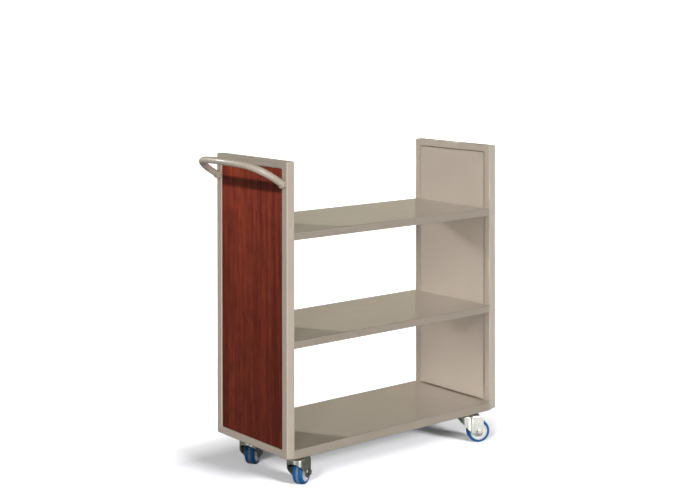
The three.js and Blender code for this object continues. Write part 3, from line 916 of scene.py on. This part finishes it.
def make_fork(name, swivel, trail, axle_point):
    node = name + "_fork"
    shape = ForkShape(swivel, trail, axle_point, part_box(node)[1].z)
    bm = bmesh.new()
    shape.add_walls(bm)
    shape.add_crown(bm)
    bmesh.ops.remove_doubles(bm, verts=bm.verts, dist=FORK_WELD_DISTANCE)
    bmesh.ops.dissolve_degenerate(bm, dist=FORK_WELD_DISTANCE, edges=bm.edges)
    bmesh.ops.recalc_face_normals(bm, faces=bm.faces)
    crown = max(bm.faces, key=lambda face: face.calc_center_median().z)
    if crown.normal.z < 0:
        bmesh.ops.reverse_faces(bm, faces=bm.faces)
    piece = add_object(node + "_pressing", bm, ZINC)
    modifier = piece.modifiers.new("sheet", "SOLIDIFY")
    modifier.thickness = FORK_SHEET
    modifier.offset = -1
    modifier.use_even_offset = True
    ease_edges(piece, FORK_EDGE, 60)
    stand_for(piece, node, name + "_swivel")


def mirrored(half):
    """A whole section from the half of it that lies above the wheel's middle."""
    return [(radius, -height) for radius, height in reversed(half)] + half


def make_wheel(name, place, axle, axle_point):
    """The tyre and the hub. The local Z axis of place is the axle, measured from the wheel's middle."""
    body = name + "_wheel"
    rim = axle_point.z - TREAD_ROUND
    tread = (
        arc((rim, TREAD_HALF_WIDTH - TREAD_ROUND), TREAD_ROUND, 0, 62, 6)
        + arc((rim + TREAD_CHEEK / 2, TREAD_HALF_WIDTH - TREAD_CHEEK), TREAD_CHEEK, 60, 90, 2)
        + [(HUB_RADIUS + CONTACT_GAP, TREAD_HALF_WIDTH - TREAD_RECESS)]
    )
    bm = bmesh.new()
    lathe(bm, mirrored(tread), place, 72, ring=True)
    tyre = blue_tyre("blue_tyre_" + name, axle, axle_point)
    finish_piece(name + "_tyre_tread", bm, tyre, name + "_tyre", body)
    bm = bmesh.new()
    lathe(bm, mirrored([(radius * MM, height * MM) for radius, height in HUB_SECTION]), place, 64, ring=True)
    finish_piece(name + "_wheel_hub_moulding", bm, HUB, name + "_wheel_hub", body)


def make_axle(name, place):
    """The bush, and the axle bolt with its head against one leg and its nut against the other."""
    body = name + "_swivel"
    sleeve = [(BUSH_RADIUS, BUSH_HALF_LENGTH), (AXLE_RADIUS + AXLE_PLAY, BUSH_HALF_LENGTH)]
    bm = bmesh.new()
    lathe(bm, mirrored(sleeve), place, 32, ring=True)
    finish_piece(name + "_axle_bush_sleeve", bm, NYLON, name + "_axle_bush", body, BUSH_EDGE)

    leg = FORK_HALF_WIDTH + CONTACT_GAP
    head, face = -leg - AXLE_HEAD_HEIGHT, -leg - WASHER_FACE
    washer = disc_profile(AXLE_HEAD_RADIUS - WASHER_INSET, -leg - 1.1 * WASHER_FACE, -leg, WASHER_EASE)
    shank = disc_profile(AXLE_RADIUS, -leg - SHANK_IN_HEAD, AXLE_END, AXLE_END_EASE)
    bm = bmesh.new()
    hexagon(bm, place, AXLE_HEAD_RADIUS, head, face, HEX_CHAMFER, HEX_BASE_CHAMFER)
    lathe(bm, washer, place, 32)
    lathe(bm, shank, place, 24)
    finish_piece(name + "_axle_bolt_hex", bm, ZINC, name + "_axle_bolt", body, HEX_EDGE, 30)
    bm = bmesh.new()
    hexagon(bm, place, AXLE_HEAD_RADIUS, leg, leg + AXLE_NUT_HEIGHT, NUT_BASE_CHAMFER, HEX_CHAMFER)
    finish_piece(name + "_axle_nut_hex", bm, ZINC, name + "_axle_nut", body, HEX_EDGE, 30)


def make_castor_plate(name, upright):
    """The top plate with its ball race below."""
    lo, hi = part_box(name + "_castor_plate")
    low = hi.z - PLATE_SHEET
    loops = []
    for d, inset in eased_slab(PLATE_SHEET, PLATE_EDGE, 3):
        outline = (lo.x + inset, hi.x - inset, lo.y + inset, hi.y - inset)
        loops.append([(x, y, low + d) for x, y in rounded_rectangle(*outline, PLATE_CORNER - inset)])
    bm = bmesh.new()
    loft(bm, loops, cap_start=True, cap_end=True)
    flare = RACE_RADIUS + RACE_FLARE
    race = (
        [(AXIS_RADIUS, lo.z)]
        + arc((RACE_RADIUS - RACE_BEND, lo.z + RACE_BEND), RACE_BEND, -90, 0, 5)
        + arc((flare, low - RACE_FLARE), RACE_FLARE, 180, 90, 4)
        + [(flare, low + RACE_IN_PLATE), (AXIS_RADIUS, low + RACE_IN_PLATE)]
    )
    lathe(bm, race, upright, 64)
    finish_piece(name + "_castor_plate_race", bm, ZINC, name + "_castor_plate", ROOT)


def make_kingpin(name, upright):
    lo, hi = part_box(name + "_kingpin")
    neck = lo.z + PIN_HEAD_HEIGHT
    pin = (
        [(AXIS_RADIUS, lo.z)]
        + arc((PIN_RADIUS, lo.z + PIN_DOME), PIN_DOME, -90, -10, 4)
        + [(PIN_HEAD_RADIUS, neck - PIN_RIM), (PIN_HEAD_RADIUS, neck)]
        + [(PIN_RADIUS, neck), (PIN_RADIUS, hi.z), (AXIS_RADIUS, hi.z)]
    )
    bm = bmesh.new()
    lathe(bm, pin, upright, 40)
    finish_piece(name + "_kingpin_rivet", bm, ZINC, name + "_kingpin", ROOT, PIN_EDGE)


def upright_at(node):
    """A matrix that puts local Z on a piece's upright axis."""
    lo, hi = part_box(node)
    return Matrix.Translation(((lo.x + hi.x) / 2, (lo.y + hi.y) / 2, 0))


def make_plate_bolt(node):
    lo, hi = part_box(node)
    place = upright_at(node)
    head = lo.z + BOLT_HEAD_HEIGHT
    flange = disc_profile(BOLT_FLANGE_RADIUS, head - BOLT_FLANGE_HEIGHT, head, BOLT_FLANGE_EASE)
    shank = disc_profile(BOLT_SHANK_RADIUS, head - SHANK_IN_HEAD, hi.z, BOLT_SHANK_EASE)
    bm = bmesh.new()
    hexagon(bm, place, BOLT_HEX_RADIUS, lo.z, lo.z + BOLT_HEX_HEIGHT, HEX_CHAMFER, HEX_BASE_CHAMFER)
    lathe(bm, flange, place, 28)
    lathe(bm, shank, place, 20)
    finish_piece(node + "_hex", bm, ZINC, node, ROOT, BOLT_EDGE, 30)


def make_castor(name):
    swivel, _ = joint_place(name + "_swivel_turn")
    axle_point, axle = joint_place(name + "_wheel_spin")
    trail = axle_point - swivel
    trail.z = 0
    trail.normalize()
    make_fork(name, swivel, trail, axle_point)
    wheel_place = along(axle, axle_point)
    make_wheel(name, wheel_place, axle, axle_point)
    make_axle(name, wheel_place)
    upright = Matrix.Translation((swivel.x, swivel.y, 0))
    make_castor_plate(name, upright)
    make_kingpin(name, upright)
    for number in BOLTS:
        make_plate_bolt(f"{name}_plate_bolt_{number}")


for castor in CASTORS:
    make_castor(castor)

# ---- castor rails ------------------------------------------------------------------------------


def make_rail(node, end):
    """A channel under one end of the bottom shelf, with the weld nuts for its castors' plate bolts."""
    lo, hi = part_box(node)
    middle = (lo.x + hi.x) / 2
    half = (hi.x - lo.x) / 2
    height = hi.z - lo.z
    path = [(half, height), (half, 0), (-half, 0), (-half, height)]

    def place(y, x, z):
        return Vector((middle + x, y, lo.z + z))

    bm = bmesh.new()
    folded_sheet(bm, [(-x, z) for x, z in path], RAIL_BEND, RAIL_SHEET, lo.y, hi.y, place)
    for castor in CASTORS:
        if castor.endswith(end):
            for number in BOLTS:
                spot = upright_at(f"{castor}_plate_bolt_{number}")
                low, high = lo.z + WELD_NUT_LOW, lo.z + WELD_NUT_TOP
                hexagon(bm, spot, WELD_NUT_RADIUS, low, high, HEX_BASE_CHAMFER, WELD_NUT_CHAMFER)
    finish_piece(node + "_channel", bm, PAINT, node, ROOT, RAIL_EDGE)


for end in ENDS:
    make_rail(end + "_castor_rail", end)

# ---- floor, light and camera -------------------------------------------------------------------

FLOOR_HALF = 30.0
GLOW_START = 0.10  # the floor brightens to white from here, measured from the cart's footprint
GLOW_END = 0.42

HORIZON_GLOW = 0.62
OVERHEAD_GLOW = 0.12
BACKDROP_GLOW = 1.2
LAMP_DISTANCE = 4

# Directions that the main lights shine in.
FRONT_LEFT = (1, 0.81, -0.62)
BACK_LEFT = (1, -1.78, -0.70)

VIEWPOINT = Vector((-2.8766, -3.5023, 1.4295))
HEADING = math.radians(39.52)
PITCH_DOWN = 0.009  # radians, as is the roll
ROLL = -0.0009
SENSOR_WIDTH = 36
LENS = 71.25
FRAME_DROP = -0.3086  # how far the picture's frame lies below the camera's level, in sensor widths
NEAR_VIEWPOINT = 0.1


def floor_surface():
    """Grey near the cart and white far from it, where a painted glow, seen by the camera only, whitens the
    floor and fades the cart's shadows.
    """
    material, tree, coords = surface("studio_floor")
    camera_ray = put(tree, "ShaderNodeLightPath").outputs["Is Camera Ray"]
    # The floor's bounce is held down, so that undersides stay as shaded as they are in a large room.
    tone = mixed(tree, camera_ray, (0.06, 0.06, 0.06), (0.35, 0.35, 0.36))
    away = vector_math(tree, "ABSOLUTE", coords)
    away = vector_math(tree, "SUBTRACT", away, CAD_BOX[1])
    away = vector_math(tree, "MAXIMUM", away, (0, 0, 0))
    distance = vector_math(tree, "LENGTH", away, output="Value")
    # Painted light: the floor's emission, for camera rays only, grows with distance from the cart's footprint
    # and washes out its shadows there.
    glow = between(tree, distance, GLOW_START, GLOW_END)
    close_surface(
        tree,
        {
            "Base Color": tone,
            "Roughness": 0.6,
            "Specular IOR Level": 0.1,
            "Emission Color": (1, 1, 1, 1),
            "Emission Strength": calc(tree, "MULTIPLY", glow, camera_ray),
        },
    )
    return material


def make_floor():
    bm = bmesh.new()
    bmesh.ops.create_grid(bm, x_segments=2, y_segments=2, size=FLOOR_HALF)
    mesh = bpy.data.meshes.new("floor")
    bm.to_mesh(mesh)
    bm.free()
    made = bpy.data.objects.new("floor", mesh)
    bpy.context.scene.collection.objects.link(made)
    mesh.materials.append(floor_surface())
    return made


def make_world():
    world = bpy.data.worlds.new("studio")
    bpy.context.scene.world = world
    world.use_nodes = True
    tree = world.node_tree
    tree.nodes.clear()
    rays = put(tree, "ShaderNodeLightPath").outputs
    direction = put(tree, "ShaderNodeTexCoord").outputs["Generated"]
    height = put(tree, "ShaderNodeSeparateXYZ", {0: direction}).outputs["Z"]
    glow = between(tree, height, 0.22, 0.40, HORIZON_GLOW, OVERHEAD_GLOW)
    # What the paint and the plating mirror is a warm wall; the light itself is white.
    tint = mixed(tree, rays["Is Glossy Ray"], (1, 1, 1), (1, 0.92, 0.70))
    sky = put(tree, "ShaderNodeBackground", {"Color": tint, "Strength": glow}).outputs[0]
    white = {"Color": (1, 1, 1, 1), "Strength": BACKDROP_GLOW}
    backdrop = put(tree, "ShaderNodeBackground", white).outputs[0]
    chosen = put(tree, "ShaderNodeMixShader", {0: rays["Is Camera Ray"], 1: sky, 2: backdrop}).outputs[0]
    put(tree, "ShaderNodeOutputWorld", {"Surface": chosen})


def light_only(lamp, pieces, state="INCLUDE"):
    """Limits a lamp to some pieces, or keeps it off them when the state is EXCLUDE."""
    group = bpy.data.collections.new(lamp.name + "_receivers")
    for piece in pieces:
        group.objects.link(piece)
    for entry in group.collection_objects:
        entry.light_linking.link_state = state
    lamp.light_linking.receiver_collection = group


def add_lamp(name, kind, power, location, direction):
    """A lamp that shines in a direction. Its power is in watts, or for a sun in watts per square metre."""
    data = bpy.data.lights.new(name, kind)
    data.energy = power
    lamp = bpy.data.objects.new(name, data)
    lamp.location = location
    lamp.rotation_mode = "QUATERNION"
    lamp.rotation_quaternion = direction.to_track_quat("-Z", "Y")
    bpy.context.scene.collection.objects.link(lamp)
    return lamp


def distant_light(name, towards, strength, spread, pieces, state="INCLUDE"):
    """A soft parallel light. spread is its angular size in degrees."""
    direction = Vector(towards).normalized()
    lamp = add_lamp(name, "SUN", strength, -direction * LAMP_DISTANCE, direction)
    lamp.data.angle = math.radians(spread)
    light_only(lamp, pieces, state)
    return lamp


def near_light(name, location, towards, width, depth, power, pieces):
    """A flat lamp of some width and depth, in metres, that lights some pieces only."""
    lamp = add_lamp(name, "AREA", power, location, Vector(towards))
    lamp.data.shape = "RECTANGLE"
    lamp.data.size = width
    lamp.data.size_y = depth
    lamp.visible_camera = False
    light_only(lamp, pieces)


def pieces_of(*starts):
    return [piece for piece in bpy.data.objects if piece.name.startswith(starts)]


def make_lights(floor):
    shelves = pieces_of("top_shelf_pan", "middle_shelf_pan", "bottom_shelf_pan")
    left_tube = pieces_of("left_end_frame_tube")
    left_veneer = pieces_of("left_veneer_panel_board")
    right_panel = pieces_of("right_inner_panel_tray")
    far_end = pieces_of("right_veneer_panel_board", "right_end_frame_tube")
    shaded_castor = pieces_of("rear_left_")
    near_fork = pieces_of("front_left_fork", "front_left_castor_plate")

    distant_light("key_front_left", FRONT_LEFT, 0.15 * math.pi, 7, shaded_castor, "EXCLUDE")
    distant_light("key_shelves", BACK_LEFT, 0.62 * math.pi, 2, shelves)
    distant_light("fill_lips", (0.2, 1, 0), 0.30 * math.pi, 20, shelves)
    kept_dark = left_tube + left_veneer + shaded_castor
    distant_light("key_back_left", BACK_LEFT, 0.32 * math.pi, 7, kept_dark, "EXCLUDE")
    kept_dark = shelves + shaded_castor + near_fork + left_veneer + right_panel
    distant_light("fill_front", (0.45, 1, -0.35), 0.55 * math.pi, 40, kept_dark, "EXCLUDE")

    # An even light keeps the shelves' shadows on the right panel faint.
    fill_panel = distant_light("fill_panel", (1, 0, 0), 0.21 * math.pi, 7, right_panel)
    fill_panel.data.use_shadow = False
    distant_light("key_panel", BACK_LEFT, 0.14 * math.pi, 5, right_panel)

    # The far end faces away from every other light.
    distant_light("fill_right", (-1, 0, -0.25), 0.28 * math.pi, 40, far_end)

    # Two lights reach the floor only, and draw the cart's shadows on it.
    distant_light("floor_front", (-0.1, 1, -0.40), 4.6 * math.pi, 16, [floor])
    distant_light("floor_left", (1, 0.65, -0.55), 2.2 * math.pi, 12, [floor])

    # A lamp above the handle warms the top of the veneer and throws the handle's shadow on it.
    near_light("veneer_lamp", (-1.29, -0.18, 1.60), (0.83, 0.18, -0.85), 0.06, 0.06, 15.5, left_veneer)
    # A lamp just above the floor stands for what the bright floor throws up at the near right castor.
    near_right = pieces_of("front_right_")
    near_light("floor_bounce", (0.30, -0.44, 0.004), (0, 0, 1), 0.44, 0.34, 0.42, near_right)


def make_camera():
    data = bpy.data.cameras.new("camera")
    data.sensor_width = SENSOR_WIDTH
    data.lens = LENS
    camera = bpy.data.objects.new("camera", data)
    camera.location = VIEWPOINT
    level = math.cos(PITCH_DOWN)
    forward = Vector((math.sin(HEADING) * level, math.cos(HEADING) * level, -math.sin(PITCH_DOWN)))
    facing = forward.to_track_quat("-Z", "Y").to_matrix() @ Matrix.Rotation(ROLL, 3, "Z")
    camera.rotation_mode = "QUATERNION"
    camera.rotation_quaternion = facing.to_quaternion()
    bpy.context.scene.collection.objects.link(camera)
    bpy.context.scene.camera = camera
    return camera


def drop_frame(camera):
    """Shifts the picture's frame down at the photo's viewpoint, and not once the camera has left it."""
    viewpoint = bpy.data.objects.new("viewpoint", None)
    viewpoint.location = VIEWPOINT
    bpy.context.scene.collection.objects.link(viewpoint)
    curve = camera.data.driver_add("shift_y")
    curve.driver.type = "AVERAGE"
    distance = curve.driver.variables.new()
    distance.type = "LOC_DIFF"
    distance.targets[0].id = camera
    distance.targets[1].id = viewpoint
    for modifier in list(curve.modifiers):
        curve.modifiers.remove(modifier)
    for apart, value in ((0.0, FRAME_DROP), (NEAR_VIEWPOINT, 0.0)):
        curve.keyframe_points.insert(apart, value).interpolation = "CONSTANT"
    curve.extrapolation = "CONSTANT"
    curve.update()


studio_floor = make_floor()
make_world()
make_lights(studio_floor)
drop_frame(make_camera())
bpy.context.scene.view_settings.view_transform = "Standard"
